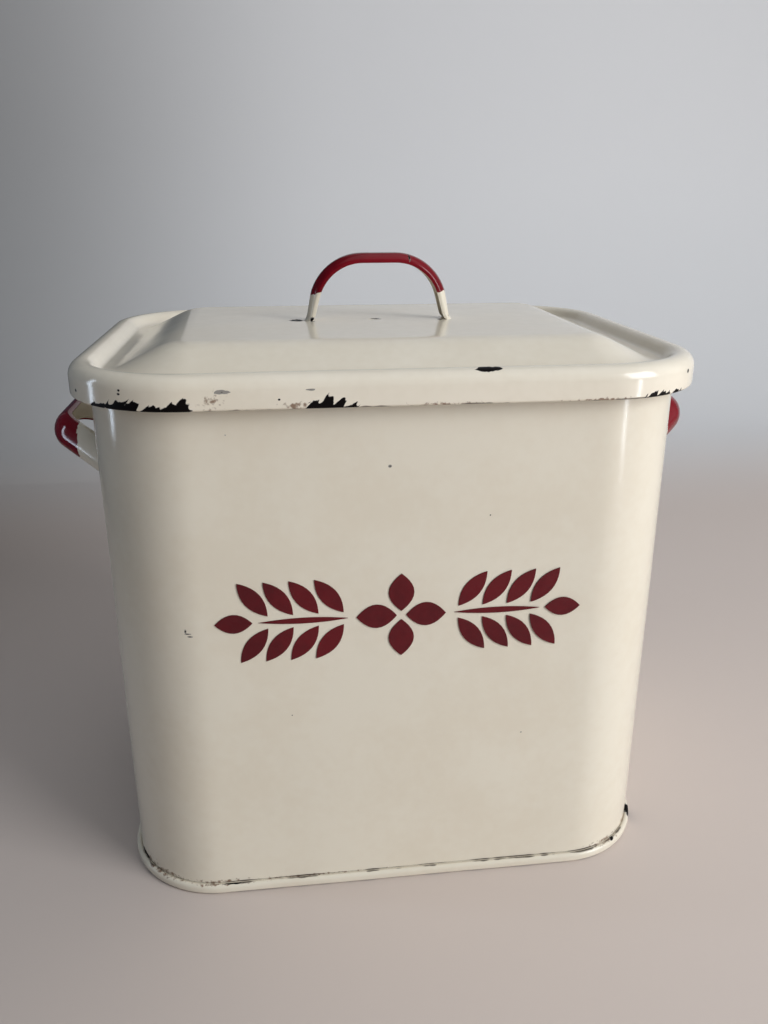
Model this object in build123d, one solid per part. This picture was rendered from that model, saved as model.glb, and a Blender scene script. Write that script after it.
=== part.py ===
from build123d import *
from math import ceil, cos, degrees, radians, sin, sqrt, tan
import os

# Enamelled steel bread bin with a lift-off lid.
# Millimetres. X runs left to right, -Y is the front, Z is up. The origin is the middle of the foot.
# Bent-sheet sections are drawn as (distance out from the wall's outer face, height).

# ---- Driving dimensions ------------------------------------------------------------------------
SHEET = 1.0             # steel with its enamel, the same gauge for wall, base and lid
BEND_FLAT = 30.0        # the sheet's bends are drawn in flats that turn by no more degrees than this

BODY_LENGTH = 320.0     # outside of the wall, left to right
BODY_DEPTH = 246.0      # outside of the wall, front to back
BODY_CORNER_R = 54.0    # outside of the wall in plan
BODY_HEIGHT = 309.35    # foot to the top of the rolled rim

RIM_WIRE_D = 5.0        # stiffening wire inside the rolled rim
WIRE_FIT = 0.05         # air between the wire and the sheet rolled round it
ROLL_FLATS = 8          # the roll and its wire are drawn with flats: the lid hides them

SEAM_HEIGHT = 5.8       # double seam at the foot, seen as a bead round the base
SEAM_FIT = 0.03         # air between the folded layers
SEAM_END_GAP = 0.8      # air past the raw end of each folded layer
SEAM_EASE = 1.0         # how far the bead's outer corners are eased
FLOOR_RAISE = 6.0       # underside of the floor above the foot
FLOOR_LIP = 6.0         # flat edge of the pan's rim that the floor panel carries on from

LAP_WIDTH = 10.0        # welded lap of the wrapped wall, up the middle of the back
LAP_PROUD = 0.7

LID_SEAT_GAP = 0.65     # between the rim's crest and the ridge that sits on it
LID_PLAY = 1.3          # between the rolled rim and the lid's hem, all round
LID_SKIRT = 17.0        # ridge top down to the skirt's lower edge
HEM_FOLD_GAP = 0.6
HEM_HEIGHT = 4.0
GULLY_DEPTH = 6.0       # ridge top down to the gully
GULLY_SLOPE = 50.0      # degrees, ridge down to gully
GULLY_R = 5.0
CROWN_INSET = 24.0      # lid's outer edge to the foot of the crown
CROWN_RISE = 13.4       # gully up to the flat of the crown
CROWN_SLOPE = 25.0      # degrees
CROWN_FOOT_R = 18.0
CROWN_SHOULDER_R = 30.0
VENT_D = 5.5

STRAP_SHEET = 1.2       # the handles are of a heavier gauge
FOOT_BEND_R = 4.0

LID_HANDLE_SPAN = 84.0      # leg to leg at the lid
LID_HANDLE_TOP_SPAN = 65.4  # where the legs' lines would meet the top
LID_HANDLE_RISE = 39.6      # lid to the top of the grip
LID_HANDLE_R = 29.5
LID_HANDLE_WIDTH = 14.0
LID_HANDLE_DOME = 3.0
LID_HANDLE_FLANGE = 2.4
LID_HANDLE_TAB = 10.0
LID_HANDLE_SHIFT = 2.2      # welded on this far to the right of the lid's middle

SIDE_HANDLE_SPAN = 112.0
SIDE_HANDLE_TOP_SPAN = 60.0
SIDE_HANDLE_RISE = 35.0     # wall to the outside of the grip, along the handle's slope
SIDE_HANDLE_SLOPE = 24.0    # degrees, up from level
SIDE_HANDLE_R = 20.0
SIDE_HANDLE_WIDTH = 17.5
SIDE_HANDLE_DOME = 3.3
SIDE_HANDLE_FLANGE = 3.5
SIDE_HANDLE_DROP = 58.35    # rim's top down to where the middle of the strap meets the wall

# ---- Sizes that follow -------------------------------------------------------------------------
HALF_SHEET = SHEET / 2
LAYER = SHEET + SEAM_FIT
HOOK_EASE = SEAM_EASE - LAYER * (2 - sqrt(2))      # keeps the layers apart by SEAM_FIT at the eased corner

WALL_MID = -HALF_SHEET
ROLL_R = RIM_WIRE_D / 2 + WIRE_FIT + HALF_SHEET    # middle of the sheet that wraps the wire
ROLL_OUT = WALL_MID + ROLL_R                       # middle of the roll
ROLL_Z = BODY_HEIGHT - HALF_SHEET - ROLL_R
ROLL_LOW_Z = ROLL_Z - ROLL_R - HALF_SHEET

HEM_STEP = SHEET + HEM_FOLD_GAP
LID_OVERHANG = ROLL_OUT + ROLL_R + HALF_SHEET + LID_PLAY + HEM_STEP + SHEET
RIDGE_R = LID_OVERHANG - HALF_SHEET - ROLL_OUT     # puts the ridge's crest right over the rim's
RIDGE_TURN = 90 + GULLY_SLOPE                      # skirt round to the slope down to the gully
RIDGE_TOP_Z = BODY_HEIGHT + LID_SEAT_GAP + SHEET
CROWN_TOP_Z = RIDGE_TOP_Z - GULLY_DEPTH + CROWN_RISE


# ---- Helpers -----------------------------------------------------------------------------------
def carry(section, route):
    """Carry a section along a route in the XY plane, straight runs extruded and bends revolved.

    The section is drawn as (out from the route, along Z), and out is to the right of the route's way.
    """
    stretches = []
    for edge in route.order_edges():
        way = edge.tangent_at(0)
        start = Plane(edge.position_at(0), x_dir=way.cross(Vector(0, 0, 1)), z_dir=-way) * section
        if edge.geom_type == GeomType.LINE:
            stretches.append(extrude(start, edge.length, dir=way))
        else:
            turn = 1 if way.cross(edge.tangent_at(1)).Z > 0 else -1
            axis = Axis(edge.arc_center, (0, 0, turn))
            stretches.append(revolve(start, axis, degrees(edge.length / edge.radius)))
    return Part() + stretches


def in_flats(line):
    """The same line with each of its arcs drawn as a few even flats."""
    points = []
    for edge in line.order_edges():
        flats = 1
        if edge.geom_type == GeomType.CIRCLE:
            flats = ceil(degrees(edge.length / edge.radius) / BEND_FLAT)
        points += [edge @ (flat / flats) for flat in range(flats)]
    return Polyline(*points, line @ 1)


def outline(inset=0.0):
    """The body's plan outline, drawn in by an inset."""
    return RectangleRounded(BODY_LENGTH - 2 * inset, BODY_DEPTH - 2 * inset, BODY_CORNER_R - inset)


def panel(inset, underside):
    """A flat sheet with the body's outline, drawn in by an inset."""
    return extrude(Pos(0, 0, underside) * outline(inset), SHEET)


# ---- The bin -----------------------------------------------------------------------------------
def make_body_wall():
    """Wrapped wall: hooked out at the foot for the seam, rolled out over the wire at the rim."""
    hook = WALL_MID + 2 * LAYER
    hook_low = LAYER + HALF_SHEET
    hook_top = SEAM_HEIGHT - SHEET - SEAM_END_GAP
    turn = 360 / ROLL_FLATS
    corner_r = ROLL_R / cos(radians(turn / 2))
    roll = []
    for flat in range(ROLL_FLATS - 1):
        angle = radians(180 - turn * (flat + 0.5))
        roll.append((ROLL_OUT + corner_r * cos(angle), ROLL_Z + corner_r * sin(angle)))
    middle = Polyline(
        (hook, hook_top),
        (hook, hook_low + HOOK_EASE),
        (hook - HOOK_EASE, hook_low),
        (WALL_MID, hook_low),
        *roll,
    )
    shell = carry(trace(middle, SHEET), outline().wire())
    lap_height = ROLL_LOW_Z - SEAM_HEIGHT
    lap_depth = LAP_PROUD + HALF_SHEET
    lap = Pos(0, BODY_DEPTH / 2 + LAP_PROUD - lap_depth / 2, SEAM_HEIGHT + lap_height / 2)
    return shell + lap * Box(LAP_WIDTH, lap_depth, lap_height)


def make_rim_wire():
    """Wire that the rim is rolled over."""
    wire = RegularPolygon(RIM_WIRE_D / 2, ROLL_FLATS, major_radius=False, rotation=180 / ROLL_FLATS)
    return carry(Pos(ROLL_OUT, ROLL_Z) * wire, outline().wire())


def make_base_pan():
    """Base: floor raised off the foot, edge folded under and over the wall's hook."""
    floor = FLOOR_RAISE + HALF_SHEET
    chuck = WALL_MID - LAYER
    outer = WALL_MID + 3 * LAYER
    top = SEAM_HEIGHT - HALF_SHEET
    inner_hook = WALL_MID + LAYER
    middle = Polyline(
        (-FLOOR_LIP, floor),
        (chuck, floor),
        (chuck, HALF_SHEET),
        (outer - SEAM_EASE, HALF_SHEET),
        (outer, HALF_SHEET + SEAM_EASE),
        (outer, top - SEAM_EASE),
        (outer - SEAM_EASE, top),
        (inner_hook, top),
        (inner_hook, LAYER + SHEET + SEAM_END_GAP),
    )
    return carry(trace(middle, SHEET), outline().wire()) + panel(FLOOR_LIP, FLOOR_RAISE)


# ---- The lid -----------------------------------------------------------------------------------
def make_lid_pan():
    """Pressed lid: hemmed skirt, ridge over the rim, gully, and a crown with a flat top."""
    skirt = LID_OVERHANG - HALF_SHEET
    hem = skirt - HEM_STEP
    low = RIDGE_TOP_Z - LID_SKIRT + HALF_SHEET
    top = RIDGE_TOP_Z - HALF_SHEET
    gully = top - GULLY_DEPTH
    crown = gully + CROWN_RISE
    peak = top - RIDGE_R + RIDGE_R * tan(radians(RIDGE_TURN / 2))
    slope_foot = skirt - (peak - gully) / tan(radians(GULLY_SLOPE))
    crown_foot = LID_OVERHANG - CROWN_INSET
    shoulder = crown_foot - CROWN_RISE / tan(radians(CROWN_SLOPE))
    crown_edge = shoulder - CROWN_SHOULDER_R * tan(radians(CROWN_SLOPE / 2)) - HALF_SHEET
    middle = FilletPolyline(
        (hem, low + HEM_HEIGHT),
        (hem, low),
        (skirt, low),
        (skirt, peak),
        (slope_foot, gully),
        (crown_foot, gully),
        (shoulder, crown),
        (crown_edge, crown),
        radius=[0, 0, RIDGE_R, GULLY_R, CROWN_FOOT_R, CROWN_SHOULDER_R],
    )
    ring = carry(trace(in_flats(middle), SHEET), outline().wire())
    vent = Pos(0, 0, CROWN_TOP_Z) * Cylinder(VENT_D / 2, 4 * SHEET)
    return ring + panel(-crown_edge, crown - HALF_SHEET) - vent


# ---- The handles -------------------------------------------------------------------------------
def strap_section(width, dome, flange):
    """Channel section of a strap, drawn as (out, across): a domed face with both edges turned in."""
    half = (width - STRAP_SHEET) / 2
    face = dome - STRAP_SHEET / 2
    edge = -STRAP_SHEET / 2
    arch = ThreePointArc((edge, -half), (face, 0), (edge, half))
    middle = Wire(
        [
            Line((-flange, -half), (edge, -half)),
            arch.trim(0, 0.5),
            arch.trim(0.5, 1),
            Line((edge, half), (-flange, half)),
        ]
    )
    return trace(in_flats(middle), STRAP_SHEET)


def make_lid_handle():
    """Arch on top of the crown, both ends splayed into flat-seated tabs."""
    foot = LID_HANDLE_SPAN / 2
    knee = LID_HANDLE_TOP_SPAN / 2
    tip = foot + LID_HANDLE_TAB
    grip = LID_HANDLE_RISE - LID_HANDLE_DOME
    route = FilletPolyline(
        (tip, STRAP_SHEET),
        (foot, STRAP_SHEET),
        (knee, grip),
        (-knee, grip),
        (-foot, STRAP_SHEET),
        (-tip, STRAP_SHEET),
        radius=[FOOT_BEND_R, LID_HANDLE_R, LID_HANDLE_R, FOOT_BEND_R],
    )
    strap = carry(strap_section(LID_HANDLE_WIDTH, LID_HANDLE_DOME, LID_HANDLE_FLANGE), route)
    tabs = Plane.XZ * RectangleRounded(2 * tip, LID_HANDLE_WIDTH, 0.4 * LID_HANDLE_WIDTH)
    seated = strap & extrude(tabs, LID_HANDLE_RISE, dir=(0, 1, 0))
    return Plane((LID_HANDLE_SHIFT, 0, CROWN_TOP_Z), x_dir=(1, 0, 0), z_dir=(0, -1, 0)) * seated


def make_side_handle(side):
    """Arch sloping up from an end wall, its legs cut to it. side is -1 for the left and +1 for the right."""
    foot = SIDE_HANDLE_SPAN / 2
    knee = SIDE_HANDLE_TOP_SPAN / 2
    grip = SIDE_HANDLE_RISE - SIDE_HANDLE_DOME
    waste = SIDE_HANDLE_WIDTH          # length of leg that the cut at the wall takes off
    splay = waste * (foot - knee) / grip
    route = FilletPolyline(
        (foot + splay, -waste),
        (knee, grip),
        (-knee, grip),
        (-foot - splay, -waste),
        radius=SIDE_HANDLE_R,
    )
    strap = carry(strap_section(SIDE_HANDLE_WIDTH, SIDE_HANDLE_DOME, SIDE_HANDLE_FLANGE), route)
    slope = radians(SIDE_HANDLE_SLOPE)
    root = (side * BODY_LENGTH / 2, 0, BODY_HEIGHT - SIDE_HANDLE_DROP)
    sloping = Plane(root, x_dir=(0, -side, 0), z_dir=(-side * sin(slope), 0, cos(slope))) * strap
    reach = 2 * SIDE_HANDLE_SPAN
    return sloping & Pos(side * (BODY_LENGTH + reach) / 2, 0, root[2]) * Box(reach, reach, reach)


# ---- The pieces --------------------------------------------------------------------------------
PIECES = {
    "body_wall": make_body_wall(),
    "rim_wire": make_rim_wire(),
    "base_pan": make_base_pan(),
    "left_side_handle": make_side_handle(-1),
    "right_side_handle": make_side_handle(1),
    "lid_pan": make_lid_pan(),
    "lid_handle": make_lid_handle(),
}

os.makedirs("parts", exist_ok=True)
for name, piece in PIECES.items():
    export_step(piece, f"parts/{name}.step")
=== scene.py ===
# %% [markdown]
# # An enamelled bread bin
# The bin is pressed and folded from thin steel sheet and coated in glossy cream enamel. A loose lid sits
# over its rolled rim, and three strap handles are painted red at the grip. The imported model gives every
# size and place, in metres, with the front facing -Y. This lesson rebuilds each sheet smoothly over it,
# then coats it.

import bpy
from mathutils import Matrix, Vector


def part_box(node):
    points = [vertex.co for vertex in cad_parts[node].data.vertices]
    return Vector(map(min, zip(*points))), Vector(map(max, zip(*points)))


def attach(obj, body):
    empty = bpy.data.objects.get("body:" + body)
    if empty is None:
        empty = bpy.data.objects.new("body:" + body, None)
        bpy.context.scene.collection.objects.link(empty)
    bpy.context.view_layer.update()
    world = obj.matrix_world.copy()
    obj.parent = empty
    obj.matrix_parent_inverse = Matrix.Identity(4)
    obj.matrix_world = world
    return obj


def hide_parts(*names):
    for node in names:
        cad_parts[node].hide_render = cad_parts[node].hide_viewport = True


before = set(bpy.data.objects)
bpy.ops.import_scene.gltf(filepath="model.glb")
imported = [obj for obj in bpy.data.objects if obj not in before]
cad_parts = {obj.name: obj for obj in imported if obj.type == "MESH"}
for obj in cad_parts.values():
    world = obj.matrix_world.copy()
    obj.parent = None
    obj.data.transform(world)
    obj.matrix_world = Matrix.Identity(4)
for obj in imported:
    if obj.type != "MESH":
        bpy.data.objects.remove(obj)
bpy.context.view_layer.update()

# %% [markdown]
# A few sizes shape everything else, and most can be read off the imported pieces. The side handles stand on
# the end walls, so their inner faces give the wall's length. The lid hangs over the wall by the same amount
# on all sides, which gives the wall's depth. Sizes that no box tells, such as a bend's radius, are named
# here.

# %% Read the main sizes
from math import atan, cos, pi, radians, sin, sqrt, tan

import bmesh
import bpy
from mathutils import Matrix, Vector, noise

MM = 0.001
SHEET = 1.0 * MM
HALF_SHEET = SHEET / 2
CORNER_R = 54.0 * MM

lid_low, lid_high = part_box("lid_pan")
wire_low, wire_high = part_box("rim_wire")
wall_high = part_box("body_wall")[1]
seam_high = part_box("base_pan")[1]

half_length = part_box("right_side_handle")[0].x
lid_overhang = lid_high.x - half_length
half_depth = lid_high.y - lid_overhang
print("wall %.1f by %.1f mm, lid hangs over by %.1f mm" % (
    2000 * half_length, 2000 * half_depth, 1000 * lid_overhang))

# %% [markdown]
# Sheet metal is a section carried along a route, and both are lines of straight runs and round bends. The
# spin operator sweeps a vertex into an arc and a line into a curved strip, and with no angle it makes a
# straight run. So one helper draws the section from a single vertex, then carries that section round the
# bin.

# %% Draw along runs and bends
RUN_STEP = 8.7 * MM
BEND_STEP = radians(4)
TOUCHING = 1e-7


def follow(bm, geom, points, radii, bend_step=BEND_STEP, run_step=RUN_STEP):
    """Sweep geometry, which stands at the first point, along the points with their corners rounded."""
    here = points[0]
    for index, radius in enumerate(list(radii) + [0]):
        corner = points[index + 1]
        way = (corner - here).normalized()
        cut = 0
        if radius:
            onward = (points[index + 2] - corner).normalized()
            turn = way.angle(onward)
            cut = radius * tan(turn / 2)
        stop = corner - way * cut
        length = (stop - here).length
        if length > TOUCHING:
            steps = max(1, round(length / run_step))
            geom = bmesh.ops.spin(bm, geom=geom, cent=here, axis=(0, 0, 1), dvec=(stop - here) / steps,
                                  angle=0, steps=steps)["geom_last"]
        here = stop
        if radius:
            axis = way.cross(onward).normalized()
            centre = stop + axis.cross(way) * radius
            steps = max(2, round(turn / bend_step))
            geom = bmesh.ops.spin(bm, geom=geom, cent=centre, axis=axis, dvec=(0, 0, 0),
                                  angle=turn, steps=steps)["geom_last"]
            here = corner + onward * cut
    return geom


print("bends turn by about %.0f degrees a step" % (BEND_STEP * 180 / pi))

# %% [markdown]
# A drawn section is one chain of vertices and edges. Each sweep leaves doubled vertices where it starts or
# closes, so they get merged, and only then can the faces agree on which side is out.

# %% Draw a section and weld the sweep
SECTION_RUN_STEP = 12 * MM
SECTION_BEND_STEP = radians(10)
WELD_GAP = 2e-6


def draw_section(bm, points, radii, bend_step=SECTION_BEND_STEP, run_step=SECTION_RUN_STEP):
    """Draw a section from one vertex and return all of it, ready to be carried."""
    start = bmesh.ops.create_vert(bm, co=points[0])["vert"]
    follow(bm, start, points, radii, bend_step, run_step)
    bmesh.ops.remove_doubles(bm, verts=bm.verts, dist=TOUCHING)
    return bm.verts[:] + bm.edges[:]


def weld(bm):
    """Merge what the sweeps left double, then make all the faces agree on which side is out."""
    bmesh.ops.remove_doubles(bm, verts=bm.verts, dist=WELD_GAP)
    bmesh.ops.recalc_face_normals(bm, faces=bm.faces)


print("a section's bends turn by %.0f degrees a step" % (SECTION_BEND_STEP * 180 / pi))

# %% [markdown]
# The wall's outline in plan is a rectangle with large round corners. A section starts at the middle of the
# front, where out is towards -Y, goes right round, and closes on itself.

# %% Carry a section round the bin
front = Vector((0, -half_depth, 0))
route = [
    front,
    Vector((half_length, -half_depth, 0)),
    Vector((half_length, half_depth, 0)),
    Vector((-half_length, half_depth, 0)),
    Vector((-half_length, -half_depth, 0)),
    front,
]


def at_front(out, up):
    """The point this far out from the wall's face and this high, at the middle of the front."""
    return Vector((0, -half_depth - out, up))


def carry_round(bm, section):
    """Carry a section right round the bin and close the ring."""
    follow(bm, section, route, [CORNER_R] * 4)
    weld(bm)


print("the route turns %d corners" % (len(route) - 2))

# %% [markdown]
# A section is only the sheet's middle line. Solidify gives it its thickness on both sides, as a real sheet
# has it. A narrow bevel rounds a raw edge where one shows, and smooth shading keeps the bends soft.

# %% Finish a piece
EDGE_ANGLE = radians(50)


def make_object(bm, name, smooth=True):
    """Turn what was modelled into an object in the scene."""
    mesh = bpy.data.meshes.new(name)
    bm.to_mesh(mesh)
    bm.free()
    if smooth:
        mesh.shade_smooth()
    made = bpy.data.objects.new(name, mesh)
    bpy.context.scene.collection.objects.link(made)
    return made


def finish_piece(bm, name, body, thickness=0.0, edge=0.0, smooth=True):
    """Make the object, thicken its sheet, round its edges and let it ride on its body."""
    piece = make_object(bm, name, smooth)
    if thickness:
        sheet = piece.modifiers.new("sheet", "SOLIDIFY")
        sheet.thickness = thickness
        sheet.offset = 0
        sheet.use_even_offset = True
        sheet.use_quality_normals = True
    if edge:
        rounding = piece.modifiers.new("edges", "BEVEL")
        rounding.width = edge
        rounding.segments = 3
        rounding.limit_method = "ANGLE"
        rounding.angle_limit = EDGE_ANGLE
    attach(piece, body)
    return piece


print("edges over %.0f degrees get rounded" % (EDGE_ANGLE * 180 / pi))

# %% [markdown]
# Pressed and fired sheet is never quite true, so soft noise pushes each piece about by a fraction of a
# millimetre, most of it sideways. The push depends on the place alone, so neighbouring layers move together
# and their fits stay. The bin also shrinks by as much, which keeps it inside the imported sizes, and the push
# in height fades out towards the foot, which stays flat. The noise starts from the clock unless it's given
# a seed, and with one every run makes the same bin.

# %% Make the sheet uneven
UNEVEN = 0.3 * MM
UNEVEN_WAVE = 60 * MM
UNEVEN_HEIGHT_SHARE = 0.3
STEADY_FOOT = 100 * MM
noise.seed_set(3)


def make_uneven(bm):
    """Push a piece's sheet about a little."""
    for vert in bm.verts:
        push = noise.noise_vector(vert.co / UNEVEN_WAVE) * UNEVEN
        push.x -= vert.co.x * UNEVEN / half_depth
        push.y -= vert.co.y * UNEVEN / half_depth
        push.z *= min(vert.co.z / STEADY_FOOT, 1) * UNEVEN_HEIGHT_SHARE
        vert.co += push


print("the sheet wanders by up to %.1f mm in waves of %.0f mm" % (2000 * UNEVEN, 1000 * UNEVEN_WAVE))

# %% [markdown]
# The wall stands straight, with a hook turned out at its foot for the double seam. At the rim it rolls
# outward over a wire, which stiffens the edge and leaves nothing sharp. The roll is one spin round the
# wire, by less than a full turn, so the raw edge ends tucked in against the wall.

# %% Roll the wall's rim over its wire
SEAM_PLAY = 0.03 * MM
WIRE_PLAY = 0.05 * MM
LAYER = SHEET + SEAM_PLAY
HOOK_HEIGHT = 3.8 * MM
HOOK_R = 0.5 * MM
ROLL_TURN = radians(315)
ROLL_STEPS = 28
wire_r = (wire_high.z - wire_low.z) / 2
roll_r = wire_r + WIRE_PLAY + HALF_SHEET
roll_middle = at_front(roll_r - HALF_SHEET, wire_low.z + wire_r)
hook_out = -HALF_SHEET + 2 * LAYER
hook_low = HALF_SHEET + LAYER

bm = bmesh.new()
draw_section(
    bm,
    [
        at_front(hook_out, HOOK_HEIGHT),
        at_front(hook_out, hook_low),
        at_front(-HALF_SHEET, hook_low),
        at_front(-HALF_SHEET, roll_middle.z),
    ],
    [HOOK_R, HOOK_R],
)
wall_top = max(bm.verts, key=lambda vert: vert.co.z)
bmesh.ops.spin(bm, geom=[wall_top], cent=roll_middle, axis=(1, 0, 0), dvec=(0, 0, 0),
               angle=ROLL_TURN, steps=ROLL_STEPS)
bmesh.ops.remove_doubles(bm, verts=bm.verts, dist=TOUCHING)
carry_round(bm, bm.verts[:] + bm.edges[:])
make_uneven(bm)
wall_shell = finish_piece(bm, "wall_shell", "bin", SHEET)
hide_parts("body_wall")
print("the wall's rim is rolled to %.1f mm across" % (2000 * (roll_r + HALF_SHEET)))

# %% [markdown]
# The wall is one strip wrapped round, and its ends are welded in a lap up the middle of the back. The lap
# is a thin flat bar with soft edges, let into the wall's face.

# %% Add the welded lap
LAP_WIDTH = 10 * MM
LAP_PROUD = 0.7 * MM
LAP_EDGE = 0.6 * MM
lap_low = seam_high.z + 1 * MM
lap_high = wire_low.z - 2 * MM

bm = bmesh.new()
bmesh.ops.create_cube(bm, size=1)
bmesh.ops.scale(bm, verts=bm.verts, vec=(LAP_WIDTH, 2 * LAP_PROUD, lap_high - lap_low))
bmesh.ops.translate(bm, verts=bm.verts, vec=(0, half_depth, (lap_high + lap_low) / 2))
bmesh.ops.bevel(bm, geom=bm.edges[:], offset=LAP_EDGE, segments=3, profile=0.5, affect="EDGES", material=-1)
wall_lap = finish_piece(bm, "wall_lap", "bin")
print("the lap is %.0f mm wide" % (1000 * LAP_WIDTH))

# %% [markdown]
# The wire inside the roll is a round bar bent to the same outline. It shows only where the roll ends.

# %% Bend the rim wire
bm = bmesh.new()
upright = Matrix.Translation(roll_middle) @ Matrix.Rotation(pi / 2, 4, "Y")
bmesh.ops.create_circle(bm, segments=20, radius=wire_r, matrix=upright)
carry_round(bm, bm.verts[:] + bm.edges[:])
make_uneven(bm)
wire_ring = finish_piece(bm, "wire_ring", "bin")
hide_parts("rim_wire")
print("wire of %.1f mm" % (2000 * wire_r))

# %% [markdown]
# The base is a shallow pan. Its edge folds down, out and up round the wall's hook, which shows as a bead at
# the foot. The section stops short of the middle, and one flat face closes the floor inside it.

# %% Fold the base round the wall's hook
SAME_LEVEL = 1e-5
BEAD_R = 1.55 * MM
PAN_R = 0.8 * MM
TAIL_R = 0.5 * MM
FLOOR_INSET = 6 * MM
seam_out = -HALF_SHEET + 3 * LAYER
seam_top = 5.3 * MM
tail_low = 2.9 * MM
floor_up = seam_high.z - HALF_SHEET

bm = bmesh.new()
section = draw_section(
    bm,
    [
        at_front(-FLOOR_INSET, floor_up),
        at_front(-HALF_SHEET - LAYER, floor_up),
        at_front(-HALF_SHEET - LAYER, HALF_SHEET),
        at_front(seam_out, HALF_SHEET),
        at_front(seam_out, seam_top),
        at_front(-HALF_SHEET + LAYER, seam_top),
        at_front(-HALF_SHEET + LAYER, tail_low),
    ],
    [PAN_R, PAN_R, BEAD_R, BEAD_R, TAIL_R],
)
carry_round(bm, section)
floor_edge = [edge for edge in bm.edges if edge.is_boundary and edge.verts[0].co.z > floor_up - SAME_LEVEL]
bmesh.ops.edgenet_fill(bm, edges=floor_edge)
bmesh.ops.recalc_face_normals(bm, faces=bm.faces)
make_uneven(bm)
base_shell = finish_piece(bm, "base_shell", "bin", SHEET)
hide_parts("base_pan")
print("floor closed over %d edges" % len(floor_edge))

# %% [markdown]
# The lid is one pressing, and its forms have a job each. The skirt hangs over the rim and is folded back at
# its hem. The ridge sits on the rim, the gully inside it locates the lid, and the crown stiffens it. The
# section runs in to where the corners shrink to points, so a plain grid can close the flat of the crown.

# %% Press the lid
HEM_HEIGHT = 4 * MM
HEM_FOLD = 1.6 * MM
HEM_R = 0.79 * MM
RIDGE_HEIGHT = 16.5 * MM
GULLY_DEPTH = 6 * MM
GULLY_SLOPE = radians(50)
GULLY_R = 5 * MM
CROWN_INSET = 24 * MM
CROWN_SLOPE = radians(25)
CROWN_FOOT_R = 18 * MM
SHOULDER_R = 30 * MM
skirt = lid_overhang - HALF_SHEET
hem = skirt - HEM_FOLD
hem_low = lid_low.z + HALF_SHEET
ridge_top = lid_low.z + RIDGE_HEIGHT
ridge_r = skirt - (roll_r - HALF_SHEET)
gully = ridge_top - GULLY_DEPTH
crown = lid_high.z - HALF_SHEET
peak = ridge_top - ridge_r + ridge_r * tan((pi / 2 + GULLY_SLOPE) / 2)
slope_foot = skirt - (peak - gully) / tan(GULLY_SLOPE)
crown_foot = lid_overhang - CROWN_INSET
shoulder = crown_foot - (crown - gully) / tan(CROWN_SLOPE)

bm = bmesh.new()
section = draw_section(
    bm,
    [
        at_front(hem, hem_low + HEM_HEIGHT),
        at_front(hem, hem_low),
        at_front(skirt, hem_low),
        at_front(skirt, peak),
        at_front(slope_foot, gully),
        at_front(crown_foot, gully),
        at_front(shoulder, crown),
        at_front(-CORNER_R, crown),
    ],
    [HEM_R, HEM_R, ridge_r, GULLY_R, CROWN_FOOT_R, SHOULDER_R],
    bend_step=radians(6),
    run_step=2.5 * MM,
)
carry_round(bm, section)
print("the ridge stands %.1f mm over the gully" % (1000 * (ridge_top - gully)))

# %% [markdown]
# The grid's squares have the same pitch as the section's steps along the straight walls, so its border
# falls on the ring's inner edge and merges with it. The vent is a hole at the grid's middle: the four
# squares there go, a bridge joins their outline to a circle, and another joins that circle to the hole's
# edge.

# %% Close the crown and open its vent
VENT_R = 2.75 * MM
VENT_COLLAR = 1.6
flat_x = half_length - CORNER_R
flat_y = half_depth - CORNER_R
columns = 2 * round(flat_x / RUN_STEP)
rows = round(2 * flat_y / RUN_STEP)
place = Matrix.Translation((0, 0, crown)) @ Matrix.Diagonal((flat_x, flat_y, 1, 1))
bmesh.ops.create_grid(bm, x_segments=columns, y_segments=rows, size=1, matrix=place)
middle = min(bm.verts, key=lambda vert: vert.co.xy.length)
square = list({edge for face in middle.link_faces for edge in face.edges} - set(middle.link_edges))
bmesh.ops.delete(bm, geom=[middle], context="VERTS")
bmesh.ops.subdivide_edges(bm, edges=square, cuts=3, use_grid_fill=False)
around = [edge for edge in bm.edges if edge.is_boundary
          and all(vert.co.xy.length < 2 * RUN_STEP for vert in edge.verts)]
at_crown = Matrix.Translation((0, 0, crown))
circles = []
for radius in (VENT_COLLAR * VENT_R, VENT_R):
    circle = bmesh.ops.create_circle(bm, segments=len(around), radius=radius, matrix=at_crown)["verts"]
    circles.append(list({edge for vert in circle for edge in vert.link_edges}))
bmesh.ops.bridge_loops(bm, edges=around + circles[0])
bmesh.ops.bridge_loops(bm, edges=circles[0] + circles[1])
weld(bm)
make_uneven(bm)
lid_shell = finish_piece(bm, "lid_shell", "lid", SHEET)
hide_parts("lid_pan")
print("crown closed by %d by %d squares, vent of %.1f mm" % (columns, rows, 2000 * VENT_R))

# %% [markdown]
# The handles are straps of heavier sheet, pressed to a domed channel so that their edges don't cut the
# hand. A channel is one more section: a flange, a dome and a flange, with a tight fold between them. It
# starts at the first point of the strap's own route, square to it, and its dome faces out of the arch. A
# strap is open at the sides, so nothing tells Blender which side is out, and a last step turns the faces if
# need be.

# %% Draw a strap
STRAP_SHEET = 1.2 * MM
FOLD_R = 1.4 * MM
CUT_TOLERANCE = 1e-6


def bend_strap(points, radii, across, width, dome, flange):
    """Sweep a domed channel along the points. Across is the direction of the strap's width."""
    bm = bmesh.new()
    out = across.cross((points[1] - points[0]).normalized())
    half = (width - STRAP_SHEET) / 2
    edge = -STRAP_SHEET / 2
    bank = 2 * atan(dome / half)
    crest_r = (half / cos(bank) - FOLD_R * tan(pi / 4 - bank / 2)) / tan(bank)
    corners = [(-flange, -half), (edge, -half), (edge + half * tan(bank), 0), (edge, half), (-flange, half)]
    section = draw_section(
        bm,
        [points[0] + out * up + across * aside for up, aside in corners],
        [FOLD_R, crest_r, FOLD_R],
        bend_step=radians(12),
        run_step=1.2 * MM,
    )
    follow(bm, section, points, radii, bend_step=radians(5), run_step=3 * MM)
    weld(bm)
    return bm


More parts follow.
